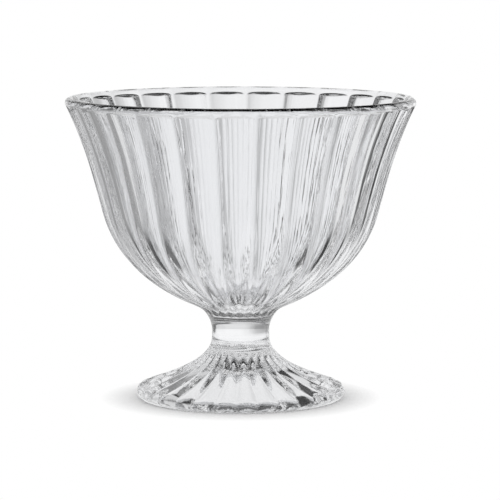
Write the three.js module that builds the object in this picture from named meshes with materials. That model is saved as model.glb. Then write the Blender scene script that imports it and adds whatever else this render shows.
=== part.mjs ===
// A footed dessert bowl in clear pressed glass, in millimetres, +Z up.
// A fluted, flared bowl, a waisted stem and a fluted, spreading foot are fused hot on two flat faces.
// The origin is the middle of the resting face under the foot, on the axis of the dish.
import * as THREE from "three";

// Heights, from the table up: the foot, the stem on it and the whole dish
const FOOT_HEIGHT = 17;
const STEM_HEIGHT = 12;
const HEIGHT = 103;

// Stem: a spool whose ends lean out from upright, by these degrees, to meet the bowl and the foot
const STEM_TOP_RADIUS = 11.75;
const STEM_BASE_RADIUS = 11.1;
const STEM_END_LEAN = 34;
const WAIST_RADIUS = 9.8;
const WAIST_RISE = 5.9;

// Bowl: it spreads from a neck to a steep belly, then flares to a rounded rim
const NECK_RADIUS = 16;
const NECK_RISE = 3.1;
const NECK_SLOPE = 23;
const BELLY_RADIUS = 47;
const BELLY_RISE = 34.8;
const BELLY_LEAN = 15;
const RIM_RADIUS = 59.7;
const RIM_LEAN = 25;
const RIM_WALL = 3.4;
const NECK_WALL = 4.5;
const FLOOR_THICKNESS = 5;

// Bowl flutes: wide hollows between narrow ribs. They deepen from the stem to a full depth that the ribs'
// width and the slope of their flanks give, and they end under the rim, which keeps a share of their depth.
const BOWL_FLUTES = 27;
const RIB_WIDTH = 2;
const FLANK_SLOPE = 28;
const FULL_DEPTH_RADIUS = 46;
const FLUTE_END = 2;
const RIM_SHARE = 0.15;
const BOWL_TURN = -1.6;

// Foot: a bell with a round edge, hollow underneath inside its resting ring
const FOOT_RADIUS = 35.7;
const FOOT_EDGE = 4.8;
const FOOT_EDGE_SLOPE = 18;
const RING_INNER_RADIUS = 29;
const HOLLOW_DEPTH = 12.5;
const HOLLOW_EDGE_SLOPE = 43;

// Foot flutes: round lobes that widen from the stem to a scalloped edge and fade out above the resting ring
const FOOT_FLUTES = 30;
const FOOT_FLUTE_DEPTH = 1;
const FOOT_TURN = 3.5;

// Both sets of flutes reach a first share of their depth within a short run from the stem
const FLUTE_START = 0.3;
const START_RUN = 1.5;

// Curve handles, as shares of the straight line that each curve spans
const EVEN_PULL = 0.37;
const STEM_PULL = 0.21;
const FOOT_PULL = 0.51;

// The most that a rib may take of the room between two flutes' middles, where that room is narrow
const RIB_LIMIT = 0.55;

// Facets: places of the columns across each flute, as shares of its pitch, the plain stem's columns,
// and steps along the fluted curves, the flutes' ends, the round and the plain curves of a profile
const FLUTE_COLUMNS = [0, 0.3, 0.5, 0.7];
const STEM_COLUMNS = 48;
const FLUTED_STEPS = 6;
const END_STEPS = 3;
const ROUND_STEPS = 5;
const PLAIN_STEPS = 4;

// Headings in the profile plane, in degrees
const OUTWARD = 0;
const UPRIGHT = 90;
const INWARD = 180;

const { clamp, degToRad, mapLinear, smoothstep } = THREE.MathUtils;

// A direction in the profile plane, in degrees from level, counter-clockwise
function heading(degrees) {
  return new THREE.Vector2(Math.cos(degToRad(degrees)), Math.sin(degToRad(degrees)));
}

// A smooth curve that leaves one point and reaches another at the given headings
function sweep(from, leaving, to, reaching, pullFrom = EVEN_PULL, pullTo = EVEN_PULL) {
  const chord = from.distanceTo(to);
  const first = from.clone().addScaledVector(heading(leaving), chord * pullFrom);
  const second = to.clone().addScaledVector(heading(reaching), -chord * pullTo);
  return new THREE.CubicBezierCurve(from, first, second, to);
}

// Part of a circle, counter-clockwise between two headings from its centre
function arc(centre, radius, start, end) {
  return new THREE.ArcCurve(centre.x, centre.y, radius, degToRad(start), degToRad(end), false);
}

// The points of a curve, each with its way into the glass and the share of the flutes' depth there.
// Profiles run from the axis, under the piece, up its outside and back to the axis.
function stations(curve, steps, shareAt = () => 0) {
  return Array.from({ length: steps + 1 }, (_, step) => {
    const point = curve.getPoint(step / steps);
    const along = curve.getTangent(step / steps);
    return { point, inward: new THREE.Vector2(-along.y, along.x), share: shareAt(point) };
  });
}

function line(from, to, steps = 1, shareAt = () => 0) {
  return stations(new THREE.LineCurve(from, to), steps, shareAt);
}

// Joins runs of stations end to end, without the points that two runs share
function profile(...runs) {
  return runs.flatMap((run, index) => (index === 0 ? run : run.slice(1)));
}

// Depth of a hollow between ribs, at a place across it and on a radius: the rib rounds over to the slope
// of its flank, and from there the bed flattens towards the middle
function hollow(place, radius) {
  const room = (Math.PI * radius) / BOWL_FLUTES;
  const round = Math.min(RIB_WIDTH / 2, room * RIB_LIMIT);
  const bed = room - round;
  const steep = Math.tan(degToRad(FLANK_SLOPE));
  const fromRib = room * Math.abs(1 - 2 * place);
  if (fromRib < round) return (steep * fromRib ** 2) / (2 * round);
  return steep * (round / 2 + (bed / 2) * (1 - ((room - fromRib) / bed) ** 2));
}

// Share of the flutes' depth at a radius, between the stem's radius and the one where they are deepest
function deepening(radius, stemRadius, deepRadius) {
  const onward = clamp(mapLinear(radius, stemRadius, deepRadius, 0, 1), 0, 1);
  return FLUTE_START * smoothstep(radius, stemRadius, stemRadius + START_RUN) + (1 - FLUTE_START) * onward;
}

// Depth of the valley between round lobes, at a place across one lobe
function valley(place) {
  return FOOT_FLUTE_DEPTH * (1 - Math.abs(Math.cos(Math.PI * place)));
}

// Turns a profile about the Z axis and sinks its flutes into the glass
function turned(outline, repeats, places = [0], depthAt = () => 0) {
  const geometry = new THREE.LatheGeometry(outline.map((station) => station.point), repeats * places.length);
  const position = geometry.attributes.position;
  for (let index = 0; index < position.count; index += 1) {
    const { point, inward, share } = outline[index % outline.length];
    const column = Math.floor(index / outline.length);
    const place = places[column % places.length];
    const angle = (2 * Math.PI * (Math.floor(column / places.length) + place)) / repeats;
    const sunk = share === 0 ? 0 : share * depthAt(place, point.x);
    const radius = point.x + sunk * inward.x;
    position.setXYZ(index, radius * Math.sin(angle), point.y + sunk * inward.y, radius * Math.cos(angle));
  }
  geometry.rotateX(Math.PI / 2);
  geometry.computeVertexNormals();
  return geometry;
}

function glass(name, geometry, height, turn = 0) {
  const material = new THREE.MeshStandardMaterial({
    color: 0xf1f5f4,
    roughness: 0.04,
    metalness: 0,
    transparent: true,
    opacity: 0.35,
  });
  const mesh = new THREE.Mesh(geometry, material);
  mesh.name = name;
  mesh.position.z = height;
  mesh.rotation.z = degToRad(turn);
  return mesh;
}

// Foot, with its profile from the middle of the hollow to the middle of the face under the stem
function makeFoot() {
  const hollowTop = new THREE.Vector2(0, HOLLOW_DEPTH);
  const ringInside = new THREE.Vector2(RING_INNER_RADIUS, 0);
  const edgeRadius = FOOT_EDGE / 2;
  const edgeCentre = new THREE.Vector2(FOOT_RADIUS - edgeRadius, edgeRadius);
  const ringOutside = new THREE.Vector2(edgeCentre.x, 0);
  const edgeTop = edgeCentre.clone().addScaledVector(heading(UPRIGHT - FOOT_EDGE_SLOPE), edgeRadius);
  const stemSeat = new THREE.Vector2(STEM_BASE_RADIUS, FOOT_HEIGHT);
  const axisTop = new THREE.Vector2(0, FOOT_HEIGHT);

  const underside = sweep(hollowTop, OUTWARD, ringInside, OUTWARD - HOLLOW_EDGE_SLOPE);
  const edge = arc(edgeCentre, edgeRadius, -UPRIGHT, UPRIGHT - FOOT_EDGE_SLOPE);
  const bell = sweep(
    edgeTop, INWARD - FOOT_EDGE_SLOPE, stemSeat, UPRIGHT + STEM_END_LEAN, FOOT_PULL, STEM_PULL,
  );
  const edgeShare = (point) => Math.min(point.y / edgeRadius, 1);
  const bellShare = (point) => deepening(point.x, STEM_BASE_RADIUS, edgeTop.x);

  const outline = profile(
    stations(underside, PLAIN_STEPS),
    line(ringInside, ringOutside),
    stations(edge, ROUND_STEPS, edgeShare),
    stations(bell, FLUTED_STEPS, bellShare),
    line(stemSeat, axisTop),
  );
  return glass("foot", turned(outline, FOOT_FLUTES, FLUTE_COLUMNS, valley), 0, FOOT_TURN);
}

// Stem, from the middle of the face on the foot to the middle of the face under the bowl
function makeStem() {
  const base = new THREE.Vector2(STEM_BASE_RADIUS, 0);
  const waist = new THREE.Vector2(WAIST_RADIUS, WAIST_RISE);
  const top = new THREE.Vector2(STEM_TOP_RADIUS, STEM_HEIGHT);

  const outline = profile(
    line(new THREE.Vector2(0, 0), base),
    stations(sweep(base, UPRIGHT + STEM_END_LEAN, waist, UPRIGHT), PLAIN_STEPS),
    stations(sweep(waist, UPRIGHT, top, UPRIGHT - STEM_END_LEAN), PLAIN_STEPS),
    line(top, new THREE.Vector2(0, STEM_HEIGHT)),
  );
  return glass("stem", turned(outline, STEM_COLUMNS), FOOT_HEIGHT);
}

// Bowl, from the middle of the face on the stem, up the fluted outside, over the rim and down to the floor
function makeBowl() {
  const base = FOOT_HEIGHT + STEM_HEIGHT;
  const seat = new THREE.Vector2(STEM_TOP_RADIUS, 0);
  const neck = new THREE.Vector2(NECK_RADIUS, NECK_RISE);
  const belly = new THREE.Vector2(BELLY_RADIUS, BELLY_RISE);
  const rimRadius = RIM_WALL / 2;
  const rimCentre = new THREE.Vector2(RIM_RADIUS - rimRadius, HEIGHT - base - rimRadius);
  const rimFoot = rimCentre.clone().addScaledVector(heading(OUTWARD - RIM_LEAN), rimRadius);
  const fluteEnd = rimFoot.clone().addScaledVector(heading(UPRIGHT - RIM_LEAN), -FLUTE_END);

  const fillet = sweep(seat, UPRIGHT - STEM_END_LEAN, neck, NECK_SLOPE);
  const lower = sweep(neck, NECK_SLOPE, belly, UPRIGHT - BELLY_LEAN);
  const upper = sweep(belly, UPRIGHT - BELLY_LEAN, fluteEnd, UPRIGHT - RIM_LEAN);
  const rim = arc(rimCentre, rimRadius, OUTWARD - RIM_LEAN, INWARD - RIM_LEAN);

  const wallShare = (point) => deepening(point.x, STEM_TOP_RADIUS, FULL_DEPTH_RADIUS);
  const endShare = (point) => 1 - (1 - RIM_SHARE) * smoothstep(point.y, fluteEnd.y, rimFoot.y);
  const rimShare = (point) => {
    return point.y < rimCentre.y ? RIM_SHARE : RIM_SHARE * smoothstep(point.x, rimCentre.x, RIM_RADIUS);
  };

  // The inside follows the outside at the wall's thickness, which grows from the rim to the neck
  const followed = profile(stations(lower, PLAIN_STEPS), stations(upper, PLAIN_STEPS));
  const inside = followed.toReversed().map(({ point, inward }) => {
    const wall = mapLinear(point.y, NECK_RISE, fluteEnd.y, NECK_WALL, RIM_WALL);
    return { point: point.clone().addScaledVector(inward, wall), inward, share: 0 };
  });
  const floorEdge = inside.at(-1).point;
  const floorMiddle = new THREE.Vector2(0, FLOOR_THICKNESS);
  const floor = sweep(floorEdge, INWARD + NECK_SLOPE, floorMiddle, INWARD);

  const outside = profile(
    line(new THREE.Vector2(0, 0), seat),
    stations(fillet, PLAIN_STEPS, wallShare),
    stations(lower, FLUTED_STEPS, wallShare),
    stations(upper, FLUTED_STEPS, wallShare),
    line(fluteEnd, rimFoot, END_STEPS, endShare),
    stations(rim, ROUND_STEPS, rimShare),
  );
  const outline = [...outside, ...profile(inside, stations(floor, PLAIN_STEPS))];
  return glass("bowl", turned(outline, BOWL_FLUTES, FLUTE_COLUMNS, hollow), base, BOWL_TURN);
}

const dish = new THREE.Group();
dish.name = "pedestal_dessert_bowl";
dish.add(makeFoot(), makeStem(), makeBowl());

export default dish;
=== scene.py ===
# %% [markdown]
# A footed dessert bowl in clear pressed glass.
# The real dish is three gobs of glass that are pressed in moulds and stuck together hot: a fluted bowl, a
# waisted stem and a fluted foot. Clear glass has no colour of its own, so its look is made of what it bends.
# The work goes into smooth, exact surfaces and into a studio that gives the glass something to show.
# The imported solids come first, as a fixed frame: sizes below are measured on them or repeat their driving
# dimensions in millimetres, so nothing is fitted afterwards. Only the two ends of the flutes are shaped
# further here, because a solid would need too many faces for them.

# %% Load the frame
import math

import bpy
import numpy as np
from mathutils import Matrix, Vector


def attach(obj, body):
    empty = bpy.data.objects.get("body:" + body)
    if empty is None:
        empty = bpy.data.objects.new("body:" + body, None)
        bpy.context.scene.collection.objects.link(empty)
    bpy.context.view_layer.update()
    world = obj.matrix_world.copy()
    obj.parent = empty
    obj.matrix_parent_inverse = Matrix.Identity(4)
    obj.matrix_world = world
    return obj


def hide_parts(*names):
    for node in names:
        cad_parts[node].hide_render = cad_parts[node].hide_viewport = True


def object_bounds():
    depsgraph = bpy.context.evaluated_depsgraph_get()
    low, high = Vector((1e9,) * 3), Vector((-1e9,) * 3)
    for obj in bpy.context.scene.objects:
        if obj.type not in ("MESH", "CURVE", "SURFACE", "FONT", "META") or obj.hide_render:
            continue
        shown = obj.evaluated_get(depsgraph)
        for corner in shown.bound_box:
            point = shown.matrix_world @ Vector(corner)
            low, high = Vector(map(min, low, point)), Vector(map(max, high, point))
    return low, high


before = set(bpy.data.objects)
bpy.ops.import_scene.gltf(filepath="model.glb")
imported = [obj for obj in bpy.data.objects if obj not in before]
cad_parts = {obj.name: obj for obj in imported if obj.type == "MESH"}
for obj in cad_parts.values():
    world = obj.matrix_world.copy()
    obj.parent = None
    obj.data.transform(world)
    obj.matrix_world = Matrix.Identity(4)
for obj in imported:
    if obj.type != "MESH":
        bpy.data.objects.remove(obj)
cad_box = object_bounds()
scene = bpy.context.scene
MM = 0.001
print("solids:", ", ".join(sorted(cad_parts)))
print("size in mm:", [round(side / MM, 2) for side in cad_box[1] - cad_box[0]])

# %% [markdown]
# The camera stands about a metre in front of the dish and a little above its rim, which shows the rim as a
# flat ellipse. A long lens at that distance keeps the foot and the rim at nearly the same scale. The lens is
# worked out from a focal length in pixels, because that is what can be measured on a photograph.

# %% Camera
IMAGE_SIDE = 500
FOCAL_PIXELS = 2948
CAMERA_PLACE = Vector((0.0032, -1.0, 0.1685))
CAMERA_AIM = Vector((0.0032, 0.0, 0.0507))
SENSOR_WIDTH = 36
LENS_REACH = 50

lens = bpy.data.cameras.new("long_lens")
lens.sensor_width = SENSOR_WIDTH
lens.lens = lens.sensor_width * FOCAL_PIXELS / IMAGE_SIDE
lens.clip_end = LENS_REACH
camera = bpy.data.objects.new("camera", lens)
camera.location = CAMERA_PLACE
camera.rotation_euler = (CAMERA_AIM - CAMERA_PLACE).to_track_quat("-Z", "Y").to_euler()
scene.collection.objects.link(camera)
scene.camera = camera
print("lens in mm:", round(lens.lens, 1))

# %% [markdown]
# All three pieces are turned shapes: one outline goes round the axis, and the flutes are sunk into it.
# A lathe modifier could turn the outline, but it can't sink flutes, and a boolean would leave a rough mesh
# that glass shows at once. So the outline is sampled finely from Bezier curves and arcs, and each sample
# keeps the direction into the glass, along which a formula moves it.

# %% Outline helpers
EVEN_PULL = 0.37


def heading(degrees):
    """A direction in the outline's plane, from level outwards, counter-clockwise."""
    return np.array([math.cos(math.radians(degrees)), math.sin(math.radians(degrees))])


def into_glass(along):
    """Turns directions along an outline a quarter to the left, which is where the glass lies."""
    along = along / np.linalg.norm(along, axis=1, keepdims=True)
    return np.stack([-along[:, 1], along[:, 0]], axis=1)


def sweep(start, leaving, end, reaching, steps, pull_start=EVEN_PULL, pull_end=EVEN_PULL):
    """Points and inward directions of a curve that leaves start and reaches end at two headings."""
    start, end = np.array(start, float), np.array(end, float)
    chord = np.linalg.norm(end - start)
    first = start + heading(leaving) * chord * pull_start
    second = end - heading(reaching) * chord * pull_end
    t = np.linspace(0, 1, steps + 1)[:, None]
    points = (1 - t) ** 3 * start + 3 * (1 - t) ** 2 * t * first + 3 * (1 - t) * t**2 * second + t**3 * end
    along = (1 - t) ** 2 * (first - start) + 2 * (1 - t) * t * (second - first) + t**2 * (end - second)
    return points, into_glass(along)


def arc(centre, radius, start, end, steps):
    """Points and inward directions of part of a circle, counter-clockwise between two headings."""
    outward = np.array([heading(angle) for angle in np.linspace(start, end, steps + 1)])
    return np.array(centre) + radius * outward, -outward


def straight(start, end, steps=1):
    """Points and inward directions of a straight line."""
    start, end = np.array(start, float), np.array(end, float)
    points = start + np.linspace(0, 1, steps + 1)[:, None] * (end - start)
    return points, into_glass(np.repeat([end - start], steps + 1, axis=0))


def joined(*runs):
    """Sets runs end to end. Each one gives up its first point, which the run before it already has."""
    points = np.concatenate([runs[0][0]] + [run[0][1:] for run in runs[1:]])
    inward = np.concatenate([runs[0][1]] + [run[1][1:] for run in runs[1:]])
    return points, inward


# %% Turning an outline
def turned(name, points, inward, sunk, angles):
    """A closed mesh of an outline from axis to axis. sunk holds a depth for each angle and outline point."""
    radius = (points[:, 0] + sunk * inward[:, 0])[:, 1:-1]
    height = (points[:, 1] + sunk * inward[:, 1])[:, 1:-1]
    turns = angles[:, None]
    rings = np.stack([radius * np.sin(turns), -radius * np.cos(turns), height], axis=-1)
    poles = [(0, 0, points[0, 1]), (0, 0, points[-1, 1])]
    columns, rows = radius.shape
    vertices = np.concatenate([rings.reshape(-1, 3), poles]) * MM

    column = np.arange(columns)[:, None]
    beside = (column + 1) % columns
    row = np.arange(rows - 1)[None, :]
    corners = [column * rows + row, beside * rows + row, beside * rows + row + 1, column * rows + row + 1]
    walls = np.stack(corners, axis=-1).reshape(-1, 4).tolist()
    first, last = columns * rows, columns * rows + 1
    under = [(first, (c + 1) % columns * rows, c * rows) for c in range(columns)]
    over = [(c * rows + rows - 1, (c + 1) % columns * rows + rows - 1, last) for c in range(columns)]

    mesh = bpy.data.meshes.new(name)
    mesh.from_pydata(vertices.tolist(), [], walls + under + over)
    mesh.shade_smooth()
    piece = bpy.data.objects.new(name, mesh)
    scene.collection.objects.link(piece)
    print(name, "faces:", len(mesh.polygons), "columns:", columns, "rows:", rows)
    return piece


def flute_angles(places, count, turn):
    """Angles from the front, the same places across every flute. Place 0 is the middle of a flute."""
    pitch = 2 * math.pi / count
    return np.concatenate([(flute + places) * pitch for flute in range(count)]) + math.radians(turn)


# %% Sizes from the frame
def rings_of(node):
    """Heights and radii of a solid's corners, in millimetres."""
    corners = np.array([corner.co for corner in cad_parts[node].data.vertices]) / MM
    return corners[:, 2], np.hypot(corners[:, 0], corners[:, 1])


LEVEL_MATCH = 0.01
stem_heights, stem_radii = rings_of("stem")
STEM_BASE, STEM_TOP = stem_heights.min(), stem_heights.max()
STEM_BASE_RADIUS = stem_radii[stem_heights < STEM_BASE + LEVEL_MATCH].max()
STEM_TOP_RADIUS = stem_radii[stem_heights > STEM_TOP - LEVEL_MATCH].max()
# Finer facets reach out further between the solid's corners, so the rim keeps this much inside its box
BOX_CLEARANCE = 0.03
RIM_HEIGHT = cad_box[1].z / MM
RIM_RADIUS = rings_of("bowl")[1].max() - BOX_CLEARANCE
FOOT_RADIUS = rings_of("foot")[1].max()
STEM_END_LEAN = 34
print("stem from", STEM_BASE, "to", STEM_TOP, "radii", STEM_BASE_RADIUS, STEM_TOP_RADIUS)
print("rim radius", RIM_RADIUS, "at height", RIM_HEIGHT, "foot radius", FOOT_RADIUS)

# %% [markdown]
# The bowl spreads from a neck to a steep belly and flares to a rounded rim. Its outside carries 27 wide
# hollow flutes between narrow ribs. They start deep, right at the stem, which scallops the neck. Each one
# ends in a flat arch under the rim, with a step that is steep enough to mirror the light: from the front that
# step is a dark dash. A small part of the depth goes on over the rim, so that its edge waves a little. The
# inside is smooth, as a plunger leaves it. The hollows could be drawn as bump, but only real relief bends the
# light as thick glass does.

# %% Bowl outline
NECK = (16, STEM_TOP + 3.1)
NECK_SLOPE = 23
BELLY = (47, STEM_TOP + 34.8)
BELLY_LEAN = 15
RIM_LEAN = 25
RIM_WALL = 3.4
NECK_WALL = 4.5
FLOOR_THICKNESS = 5
FLUTE_END = 2
FILLET_ROWS, LOWER_ROWS, UPPER_ROWS, CLOSING_ROWS, RIM_ROWS, WELL_ROWS = 6, 32, 24, 14, 18, 8

rim_round = RIM_WALL / 2
rim_centre = np.array([RIM_RADIUS - rim_round, RIM_HEIGHT - rim_round])
rim_foot = rim_centre + rim_round * heading(-RIM_LEAN)
rim_way = heading(90 - RIM_LEAN)
flute_end = rim_foot - FLUTE_END * rim_way

seat = straight((0, STEM_TOP), (STEM_TOP_RADIUS, STEM_TOP))
fillet = sweep((STEM_TOP_RADIUS, STEM_TOP), 90 - STEM_END_LEAN, NECK, NECK_SLOPE, FILLET_ROWS)
lower = sweep(NECK, NECK_SLOPE, BELLY, 90 - BELLY_LEAN, LOWER_ROWS)
upper = sweep(BELLY, 90 - BELLY_LEAN, flute_end, 90 - RIM_LEAN, UPPER_ROWS)
closing = straight(flute_end, rim_foot, CLOSING_ROWS)
rim = arc(rim_centre, rim_round, -RIM_LEAN, 180 - RIM_LEAN, RIM_ROWS)
bowl_outside = joined(seat, fillet, lower, upper, closing, rim)

# The inside follows the outside, from the rim down, at every second point
followed, followed_in = (side[::-2] for side in joined(lower, upper))
wall = np.interp(followed[:, 1], [NECK[1], flute_end[1]], [NECK_WALL, RIM_WALL])
inside = followed + wall[:, None] * followed_in
floor_middle = (0, STEM_TOP + FLOOR_THICKNESS)
well = sweep(inside[-1], 180 + NECK_SLOPE, floor_middle, 180, WELL_ROWS)
bowl_points = np.concatenate([bowl_outside[0], inside, well[0][1:]])
bowl_inward = np.concatenate([bowl_outside[1], followed_in, well[1][1:]])
print("bowl outline points:", len(bowl_points), "of which outside:", len(bowl_outside[0]))

# %% Bowl flutes
BOWL_FLUTES = 27
BOWL_TURN = -1.6
RIB_WIDTH = 2
RIB_LIMIT = 0.55
FLANK_SLOPE = 28
FULL_DEPTH_RADIUS = 46
FLUTE_START = 0.9
START_RUN = 0.8
RIM_SHARE = 0.15
END_ROUND = 0.2
END_SAG = 0.4
END_SQUARENESS = 4


def hollow(distance, rounded, room):
    """Depth, per unit of slope, at a distance from a rib: it rounds over, then its bed flattens out."""
    bed = room - rounded
    left = np.clip((room - distance) / bed, 0, 1)
    return np.where(distance < rounded, distance**2 / (2 * rounded), rounded / 2 + bed / 2 * (1 - left**2))


def smooth(value):
    """Goes from 0 to 1 and is level at both ends."""
    value = np.clip(value, 0, 1)
    return value * value * (3 - 2 * value)


def deepening(radius, stem_radius, deep_radius, start):
    """Share of the flutes' depth at a radius: a first share close to the stem, then the rest evenly."""
    onward = np.clip((radius - stem_radius) / (deep_radius - stem_radius), 0, 1)
    return start * smooth((radius - stem_radius) / START_RUN) + (1 - start) * onward


def flute_share(point):
    """Share of the flutes' depth at an outline point: it grows from the stem and fades over the rim."""
    if point[1] > rim_centre[1]:
        return smooth((point[0] - rim_centre[0]) / rim_round)
    return deepening(point[0], STEM_TOP_RADIUS, FULL_DEPTH_RADIUS, FLUTE_START)


def bowl_depth(places, point):
    """Depth of the flutes at one outline point, at places across a flute."""
    room = math.pi * point[0] / BOWL_FLUTES
    rounded = min(RIB_WIDTH / 2, RIB_LIMIT * room)
    sunk = hollow((1 - 2 * np.abs(places)) * room, rounded, room)
    full = hollow(np.array(room), rounded, room)
    below_rim = np.clip((rim_foot - point) @ rim_way - END_SAG * (2 * places) ** 2, 0, FLUTE_END)
    risen = hollow(below_rim, END_ROUND, FLUTE_END) / hollow(np.array(FLUTE_END), END_ROUND, FLUTE_END)
    from_middle = 1 - sunk / full
    ended = (from_middle**END_SQUARENESS + (1 - risen) ** END_SQUARENESS) ** (1 / END_SQUARENESS)
    shape = RIM_SHARE * (1 - from_middle) + (1 - RIM_SHARE) * (1 - np.minimum(ended, 1))
    return math.tan(math.radians(FLANK_SLOPE)) * full * flute_share(point) * shape


print("flute pitch at the rim in mm:", round(2 * math.pi * RIM_RADIUS / BOWL_FLUTES, 2))

# %% Bowl mesh
BOWL_STEPS = 14
CROWDING = 1.35


def flute_places(steps):
    """Places across a flute, which lie closer together towards its two ribs, where it bends most."""
    half = 0.5 * (1 - (1 - np.linspace(0, 1, steps + 1)) ** CROWDING)
    return np.concatenate([-half[-2:0:-1], half])


bowl_places = flute_places(BOWL_STEPS)
bowl_sunk = np.zeros((len(bowl_places), len(bowl_points)))
for index, point in enumerate(bowl_outside[0]):
    if flute_share(point) > 0:
        bowl_sunk[:, index] = bowl_depth(bowl_places, point)
angles = flute_angles(bowl_places, BOWL_FLUTES, BOWL_TURN)
bowl = turned("fluted_bowl", bowl_points, bowl_inward, np.tile(bowl_sunk, (BOWL_FLUTES, 1)), angles)
print("deepest flute in mm:", round(bowl_sunk.max(), 2))

# %% [markdown]
# The stem is a short solid spool, plain and fire-polished. It carries no flutes, so it needs only its two
# curves and even columns. It is the thickest glass of the dish and works as a strong lens.

# %% Stem mesh
WAIST = (9.8, STEM_BASE + 5.9)
STEM_COLUMNS = 128
STEM_ROWS = 16

stem_points, stem_inward = joined(
    straight((0, STEM_BASE), (STEM_BASE_RADIUS, STEM_BASE)),
    sweep((STEM_BASE_RADIUS, STEM_BASE), 90 + STEM_END_LEAN, WAIST, 90, STEM_ROWS),
    sweep(WAIST, 90, (STEM_TOP_RADIUS, STEM_TOP), 90 - STEM_END_LEAN, STEM_ROWS),
    straight((STEM_TOP_RADIUS, STEM_TOP), (0, STEM_TOP)),
)
angles = np.linspace(0, 2 * math.pi, STEM_COLUMNS, endpoint=False)
stem = turned("waisted_stem", stem_points, stem_inward, np.zeros((STEM_COLUMNS, len(stem_points))), angles)

# %% [markdown]
# The foot spreads as a bell to a scalloped edge. Its 30 flutes are round lobes with sharp valleys between
# them, the other way about from the bowl's, and they fade out above the ring that it rests on. Underneath
# is a deep hollow, which such feet have so that the glass stays even in thickness and only the ring touches
# the table. Its top is what draws the dark wavy line round the upper part of the foot.

# %% Foot mesh
FOOT_EDGE = 4.8
FOOT_EDGE_SLOPE = 18
RING_INNER_RADIUS = 29
HOLLOW_DEPTH = 12.5
HOLLOW_EDGE_SLOPE = 43
FOOT_FLUTES = 30
FOOT_FLUTE_DEPTH = 1
FOOT_FLUTE_START = 0.9
FOOT_TURN = 3.5
FOOT_STEPS = 12
FOOT_PULL = 0.51
STEM_PULL = 0.21
HOLLOW_ROWS, RING_ROWS, EDGE_ROWS, BELL_ROWS = 24, 2, 18, 56

edge_round = FOOT_EDGE / 2
edge_centre = np.array([FOOT_RADIUS - edge_round, edge_round])
edge_top = edge_centre + edge_round * heading(90 - FOOT_EDGE_SLOPE)
foot_seat = (STEM_BASE_RADIUS, STEM_BASE)
foot_points, foot_inward = joined(
    sweep((0, HOLLOW_DEPTH), 0, (RING_INNER_RADIUS, 0), -HOLLOW_EDGE_SLOPE, HOLLOW_ROWS),
    straight((RING_INNER_RADIUS, 0), (edge_centre[0], 0), RING_ROWS),
    arc(edge_centre, edge_round, -90, 90 - FOOT_EDGE_SLOPE, EDGE_ROWS),
    sweep(edge_top, 180 - FOOT_EDGE_SLOPE, foot_seat, 90 + STEM_END_LEAN, BELL_ROWS, FOOT_PULL, STEM_PULL),
    straight(foot_seat, (0, STEM_BASE)),
)
over_ring = np.clip(foot_points[:, 1] / edge_round, 0, 1)
from_stem = deepening(foot_points[:, 0], STEM_BASE_RADIUS, edge_top[0], FOOT_FLUTE_START)
on_top = foot_inward[:, 1] < 0
fluted = np.where(on_top | (foot_points[:, 0] > edge_centre[0]), np.minimum(over_ring, from_stem), 0)
foot_places = flute_places(FOOT_STEPS)
valley = 1 - np.cos(math.pi * foot_places)
foot_sunk = FOOT_FLUTE_DEPTH * valley[:, None] * fluted[None, :]
angles = flute_angles(foot_places, FOOT_FLUTES, FOOT_TURN)
foot = turned("spreading_foot", foot_points, foot_inward, np.tile(foot_sunk, (FOOT_FLUTES, 1)), angles)

# %% [markdown]
# Real pressed glass is never perfectly even. The mould and the plunger leave shallow ripples that run along
# the flutes, and the melt has faint streaks. Painted marks would look like dirt, so the ripples are a height
# that bends the surface normal, and the streaks vary the tint by a hair. Both are node groups, because all
# three pieces use them, each with its own values. The noise lies on a cylinder round the axis, which has no
# seam.

# %% Node helpers
def add(tree, kind, label, settings=None, **inputs):
    """A node with its settings and inputs. An input is a value, or another node's output to link."""
    node = tree.nodes.new(kind)
    node.name = node.label = label
    for key, value in (settings or {}).items():
        setattr(node, key, value)
    for key, value in inputs.items():
        socket = node.inputs[int(key[1:])] if key[0] == "i" and key[1:].isdigit() else node.inputs[key]
        if isinstance(value, bpy.types.NodeSocket):
            tree.links.new(value, socket)
        else:
            socket.default_value = value
    return node


def calc(tree, operation, *terms):
    """One step of arithmetic, as a Math node's output."""
    inputs = {f"i{place}": term for place, term in enumerate(terms)}
    return add(tree, "ShaderNodeMath", operation.lower(), {"operation": operation}, **inputs).outputs[0]


def new_group(name, inputs, outputs):
    """An empty shader node group with named number inputs and named outputs of a given socket type."""
    group = bpy.data.node_groups.new(name, "ShaderNodeTree")
    for label, value in inputs.items():
        socket = group.interface.new_socket(label, in_out="INPUT", socket_type="NodeSocketFloat")
        socket.default_value = value
    for label, kind in outputs.items():
        group.interface.new_socket(label, in_out="OUTPUT", socket_type=kind)
    return group, group.nodes.new("NodeGroupInput"), group.nodes.new("NodeGroupOutput")


def from_axis(tree, x, y):
    """Distance from the axis of the dish."""
    return calc(tree, "SQRT", calc(tree, "ADD", calc(tree, "MULTIPLY", x, x), calc(tree, "MULTIPLY", y, y)))


def round_axis(tree, around, along):
    """Coordinates on a cylinder round the axis: finer with around, and with along per metre of height."""
    place = add(tree, "ShaderNodeSeparateXYZ", "place", Vector=tree.nodes["position"].outputs["Position"])
    x, y, z = place.outputs
    scale = calc(tree, "DIVIDE", around, calc(tree, "MAXIMUM", from_axis(tree, x, y), MM))
    return add(
        tree, "ShaderNodeCombineXYZ", "round the axis",
        X=calc(tree, "MULTIPLY", x, scale),
        Y=calc(tree, "MULTIPLY", y, scale),
        Z=calc(tree, "MULTIPLY", z, along),
    ).outputs[0]


# %% Ripple and streak groups
DARKER_TINT = (0.936, 0.941, 0.953, 1)
LIGHTER_TINT = (0.96, 0.965, 0.977, 1)

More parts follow.
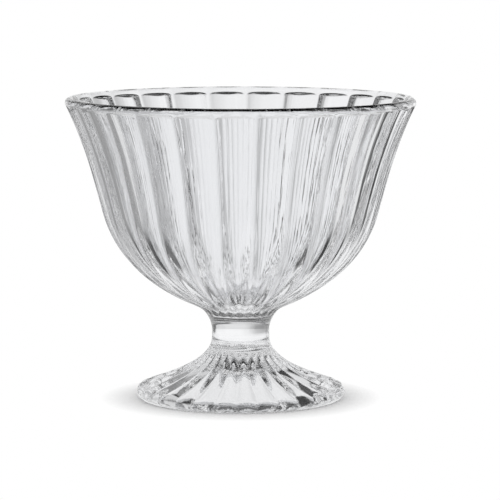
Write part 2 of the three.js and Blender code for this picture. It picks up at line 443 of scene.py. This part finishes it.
ripple, ripple_in, ripple_out = new_group(
    "Press ripple", {"Around": 40, "Along": 60, "Wander": 0.5}, {"Height": "NodeSocketFloat"},
)
add(ripple, "ShaderNodeNewGeometry", "position")
where = round_axis(ripple, ripple_in.outputs["Around"], ripple_in.outputs["Along"])
grain = add(
    ripple, "ShaderNodeTexNoise", "ripples", {"noise_dimensions": "3D"},
    Vector=where, Scale=1.0, Detail=2.0, Roughness=0.45, Distortion=ripple_in.outputs["Wander"],
)
ripple.links.new(grain.outputs["Fac"], ripple_out.inputs["Height"])

streak, streak_in, streak_out = new_group(
    "Melt streaks", {"Around": 5, "Along": 30}, {"Tint": "NodeSocketColor"},
)
add(streak, "ShaderNodeNewGeometry", "position")
where = round_axis(streak, streak_in.outputs["Around"], streak_in.outputs["Along"])
cloud = add(streak, "ShaderNodeTexNoise", "streaks", Vector=where, Scale=1.0, Detail=3.0)
shades = add(streak, "ShaderNodeValToRGB", "tints", Fac=cloud.outputs["Fac"])
shades.color_ramp.elements[0].color = DARKER_TINT
shades.color_ramp.elements[1].color = LIGHTER_TINT
streak.links.new(shades.outputs["Color"], streak_out.inputs["Tint"])
print("node groups:", ripple.name, "and", streak.name)

# %% [markdown]
# The glass itself is a Principled shader with full transmission, no roughness, because it is fire-polished,
# and the index of soda-lime glass. Each piece has its own material with its own ripples. Where two pieces are
# fused there is no surface inside the real dish, so those two flat faces get a clear material that lets
# light straight through: the three closed meshes then bend light as one piece of glass.

# %% Glass materials
GLASS_INDEX = 1.5


def pressed_glass(name, around, along, wander, depth):
    """Clear glass with faint streaks, and with ripples of a depth in millimetres."""
    material = bpy.data.materials.new(name)
    material.use_nodes = True
    tree = material.node_tree
    shader = tree.nodes["Principled BSDF"]
    shader.inputs["Transmission Weight"].default_value = 1.0
    shader.inputs["Roughness"].default_value = 0.0
    shader.inputs["IOR"].default_value = GLASS_INDEX
    tint = add(tree, "ShaderNodeGroup", "streaks", {"node_tree": streak})
    tree.links.new(tint.outputs["Tint"], shader.inputs["Base Color"])
    waves = add(tree, "ShaderNodeGroup", "ripples", {"node_tree": ripple})
    waves.inputs["Around"].default_value = around
    waves.inputs["Along"].default_value = along
    waves.inputs["Wander"].default_value = wander
    bump = add(
        tree, "ShaderNodeBump", "rippled normal",
        Strength=1.0, Distance=depth * MM, Height=waves.outputs["Height"],
    )
    tree.links.new(bump.outputs["Normal"], shader.inputs["Normal"])
    print(name, "ripples of", depth, "mm")
    return material


bowl_glass = pressed_glass("bowl_glass", around=42, along=40, wander=0.4, depth=0.045)
stem_glass = pressed_glass("stem_glass", around=16, along=90, wander=0.6, depth=0.05)
foot_glass = pressed_glass("foot_glass", around=24, along=160, wander=0.5, depth=0.035)

fused_joint = bpy.data.materials.new("fused_joint")
fused_joint.use_nodes = True
fused_joint.node_tree.nodes.clear()
clear = add(fused_joint.node_tree, "ShaderNodeBsdfTransparent", "clear")
add(fused_joint.node_tree, "ShaderNodeOutputMaterial", "surface", Surface=clear.outputs[0])

# %% Dressing the pieces
JOINT_MATCH = 0.001
LEVEL_NORMAL = 0.999
JOINT_PLACE = 1


def dress(piece, material, node, joint_heights):
    """Gives a piece its glass, makes its joint faces clear and flat, and sets it in the frame."""
    piece.data.materials.append(material)
    piece.data.materials.append(fused_joint)
    joints = 0
    for face in piece.data.polygons:
        level = face.center.z / MM
        at_joint = any(abs(level - joint) < JOINT_MATCH for joint in joint_heights)
        if at_joint and abs(face.normal.z) > LEVEL_NORMAL:
            face.material_index = JOINT_PLACE
            face.use_smooth = False
            joints += 1
    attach(piece, "root")
    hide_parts(node)
    print(piece.name, "stands for", node, "with joint faces:", joints)


dress(bowl, bowl_glass, "bowl", [STEM_TOP])
dress(stem, stem_glass, "stem", [STEM_BASE, STEM_TOP])
dress(foot, foot_glass, "foot", [STEM_BASE])

# %% [markdown]
# Clear glass on white is lit from behind: a bright backdrop shines through the dish, and dark cards beside
# it draw every rib and edge as a grey or black line. Lamps on the dish would only add hot spots. So the
# world is a studio in two bands. The low one is a white backdrop behind the dish, sharp on the right and
# fading on the left, then a card on each side, pale walls beyond them and a dim room round the camera. The
# high one is black towards the camera, which is what the mirroring steps of the flutes show. The camera
# itself sees plain white, as a cut-out picture has it. The levels here and on the floor come from trial
# renders that were scored against the photograph, and were then rounded by hand.

# %% Studio levels
# Brightness by azimuth in degrees: 0 is behind the dish, 90 on its right, 180 at the camera
WALLS = [(-180, 0.25), (-115, 0.25), (-105, 0.8), (-84, 0.8), (-74, 0.32), (-54, 0.3), (-46, 0.38)]
WALLS += [(-22, 0.5), (-12, 0.85), (-4, 1.0), (45, 1.0), (50, 0.06), (66, 0.06), (74, 0.9), (105, 0.9)]
WALLS += [(115, 0.25), (180, 0.25)]
CEILING = [(-180, 0.0), (-115, 0.0), (-104, 0.7), (-82, 0.7), (-70, 0.02), (-46, 0.02), (-36, 0.8)]
CEILING += [(10, 0.95), (20, 0.03), (64, 0.03), (74, 0.8), (104, 0.8), (115, 0.0), (180, 0.0)]
CEILING_START = (18, 27)
OVERHEAD = 0.05
OVERHEAD_START = (60, 70)
HALF_TURN = 180
print("stops round the walls:", len(WALLS), "and round the ceiling:", len(CEILING))


def share_of(tree, label, value, lowest, highest):
    """How far a value has come from one end to the other, from 0 to 1."""
    ends = {"From Min": lowest, "From Max": highest, "To Min": 0.0, "To Max": 1.0}
    return add(tree, "ShaderNodeMapRange", label + " share", Value=value, **ends).outputs[0]


def azimuth_of(tree, x, y):
    """Angle round the dish in degrees, from behind it towards its right."""
    return calc(tree, "DEGREES", calc(tree, "ARCTAN2", x, y))


def graded(tree, label, azimuth, stops):
    """A level by azimuth, from stops all the way round."""
    share = share_of(tree, label, azimuth, -HALF_TURN, HALF_TURN)
    node = add(tree, "ShaderNodeValToRGB", label, Fac=share)
    ramp = node.color_ramp
    ramp.interpolation = "LINEAR"
    for place, (stop, level) in enumerate(stops):
        position = (stop + HALF_TURN) / (2 * HALF_TURN)
        # A new ramp already has two elements
        element = ramp.elements[place] if place < 2 else ramp.elements.new(position)
        element.position = position
        element.color = (level, level, level, 1)
    return node.outputs["Color"]


def blended(tree, label, share, before, after):
    """A mix of two levels, each a value or another node's output."""
    node = add(tree, "ShaderNodeMix", label, {"data_type": "FLOAT"}, Factor=share, A=before, B=after)
    return node.outputs[0]


def changed(tree, label, value, start, before, after):
    """Goes from one level to another while a value passes through a range."""
    return blended(tree, label, share_of(tree, label, value, *start), before, after)


# %% World
def studio(walls, ceiling, overhead, dome):
    """The glass sees the studio, an even dome lights the floor's paper, and the camera sees white."""
    world = bpy.data.worlds.new("studio")
    world.use_nodes = True
    tree = world.node_tree
    tree.nodes.clear()
    coordinates = add(tree, "ShaderNodeTexCoord", "direction")
    way = add(tree, "ShaderNodeSeparateXYZ", "way", Vector=coordinates.outputs["Generated"])
    x, y, z = way.outputs
    azimuth = azimuth_of(tree, x, y)
    elevation = calc(tree, "DEGREES", calc(tree, "ARCSINE", z))
    low = graded(tree, "walls", azimuth, walls)
    high = graded(tree, "ceiling", azimuth, ceiling)
    level = changed(tree, "walls to ceiling", elevation, CEILING_START, low, high)
    level = changed(tree, "ceiling to overhead", elevation, OVERHEAD_START, level, overhead)

    ray = add(tree, "ShaderNodeLightPath", "ray")
    glass_ray = calc(tree, "MAXIMUM", ray.outputs["Is Glossy Ray"], ray.outputs["Is Transmission Ray"])
    off_the_floor = calc(tree, "MINIMUM", ray.outputs["Diffuse Depth"], 1.0)
    glass_ray = calc(tree, "MULTIPLY", glass_ray, calc(tree, "SUBTRACT", 1.0, off_the_floor))
    lit = blended(tree, "studio for the glass", glass_ray, dome, level)
    seen = blended(tree, "white for the camera", ray.outputs["Is Camera Ray"], lit, 1.0)
    light = add(tree, "ShaderNodeBackground", "light", Strength=seen)
    add(tree, "ShaderNodeOutputWorld", "world", Surface=light.outputs[0])
    return world


scene.world = studio(WALLS, CEILING, OVERHEAD, dome=1.0)
print("world:", scene.world.name)

# %% [markdown]
# The floor is white paper. To the camera it is plain white but for the dish's own soft shadow, so only a
# small round patch of it is real paper and the rest glows as bright as the background. The glass sees the
# floor too, upside down and squeezed into its edges, so for the glass it glows with levels of its own:
# painted shade under the foot, near the foot a painted shadow of the dish on the left and a dark patch on
# the right, and far away, where the cards of the walls go on.

# %% Floor levels
FLOOR_SIDE = 30
FLOOR_GAP = 0.00005
PAPER = 0.97
SHADOW_REACH = (0.034, 0.048)
# Painted shade: for the glass, the floor under the foot glows a little darker, as if it lay in the foot's
# shadow
PAINTED_UNDER_SHADE = 0.9
NEAR_START = (0.038, 0.048)
# Painted shadow: the dark stops on the left are the dish's own shadow painted into the floor's glow, and the
# glow is also dark on the right
NEAR_WITH_PAINTED_SHADOW = [(-180, 0.95), (-122, 0.95), (-112, 0.1), (-70, 0.1), (-58, 0.95), (-20, 0.95), (0, 1.0), (70, 1.0)]
NEAR_WITH_PAINTED_SHADOW += [(80, 0.05), (140, 0.05), (150, 1.0), (180, 0.95)]
FAR_START = (0.09, 0.16)
FAR = [(-180, 0.7), (-84, 0.8), (-74, 0.32), (-52, 0.3), (-44, 0.45), (-22, 0.6), (-12, 0.85), (0, 0.97)]
FAR += [(46, 1.0), (50, 0.06), (64, 0.06), (72, 0.85), (110, 0.9), (180, 0.7)]
print("stops near the foot:", len(NEAR_WITH_PAINTED_SHADOW), "and far away:", len(FAR))


# %% Floor
def floor_paint(under, near, far):
    """White paper that takes the dish's shadow close to it, and for the glass a glow with painted shade near
    the foot.
    """
    material = bpy.data.materials.new("white_floor")
    material.use_nodes = True
    tree = material.node_tree
    tree.nodes.clear()
    geometry = add(tree, "ShaderNodeNewGeometry", "position")
    place = add(tree, "ShaderNodeSeparateXYZ", "place", Vector=geometry.outputs["Position"])
    x, y, _ = place.outputs
    reach = from_axis(tree, x, y)
    azimuth = azimuth_of(tree, x, y)
    near_level = graded(tree, "near the foot", azimuth, near)
    far_level = graded(tree, "far away", azimuth, far)
    # The glass sees painted light here: the glow is darker under the foot and in the dish's painted shadow
    # beside it
    level = changed(tree, "under to near", reach, NEAR_START, under, near_level)
    level = changed(tree, "near to far", reach, FAR_START, level, far_level)
    glow = add(tree, "ShaderNodeEmission", "seen through glass", Strength=level)

    paper = add(tree, "ShaderNodeBsdfDiffuse", "paper", Color=(PAPER, PAPER, PAPER, 1))
    white = add(tree, "ShaderNodeEmission", "plain white", Strength=1.0)
    fade = changed(tree, "away from the dish", reach, SHADOW_REACH, 0.0, 1.0)
    seen = add(tree, "ShaderNodeMixShader", "shadow", i0=fade, i1=paper.outputs[0], i2=white.outputs[0])
    ray = add(tree, "ShaderNodeLightPath", "ray")
    mixed = add(
        tree, "ShaderNodeMixShader", "camera or glass",
        i0=ray.outputs["Is Camera Ray"], i1=glow.outputs[0], i2=seen.outputs[0],
    )
    add(tree, "ShaderNodeOutputMaterial", "surface", Surface=mixed.outputs[0])
    return material


half = FLOOR_SIDE / 2
corners = [(-half, -half, 0), (half, -half, 0), (half, half, 0), (-half, half, 0)]
floor_mesh = bpy.data.meshes.new("floor")
floor_mesh.from_pydata(corners, [], [(0, 1, 2, 3)])
floor_mesh.materials.append(floor_paint(PAINTED_UNDER_SHADE, NEAR_WITH_PAINTED_SHADOW, FAR))
floor = bpy.data.objects.new("floor", floor_mesh)
floor.location.z = -FLOOR_GAP
scene.collection.objects.link(floor)
print("floor side in m:", FLOOR_SIDE)

# %% [markdown]
# The Standard view shows a level of 1 as white. In thick glass light can run on for dozens of bounces. The
# limit here is a choice of look: the longest paths end in black, which draws the edges and the dashes under
# the rim as crisp dark lines, where more bounces would make them paler.

# %% Picture settings
BOUNCES = 10
CLEAR_BOUNCES = 16

scene.view_settings.view_transform = "Standard"
scene.cycles.max_bounces = BOUNCES
scene.cycles.transmission_bounces = BOUNCES
scene.cycles.glossy_bounces = BOUNCES
scene.cycles.transparent_max_bounces = CLEAR_BOUNCES
print("bounces:", BOUNCES, "and through clear faces:", CLEAR_BOUNCES)
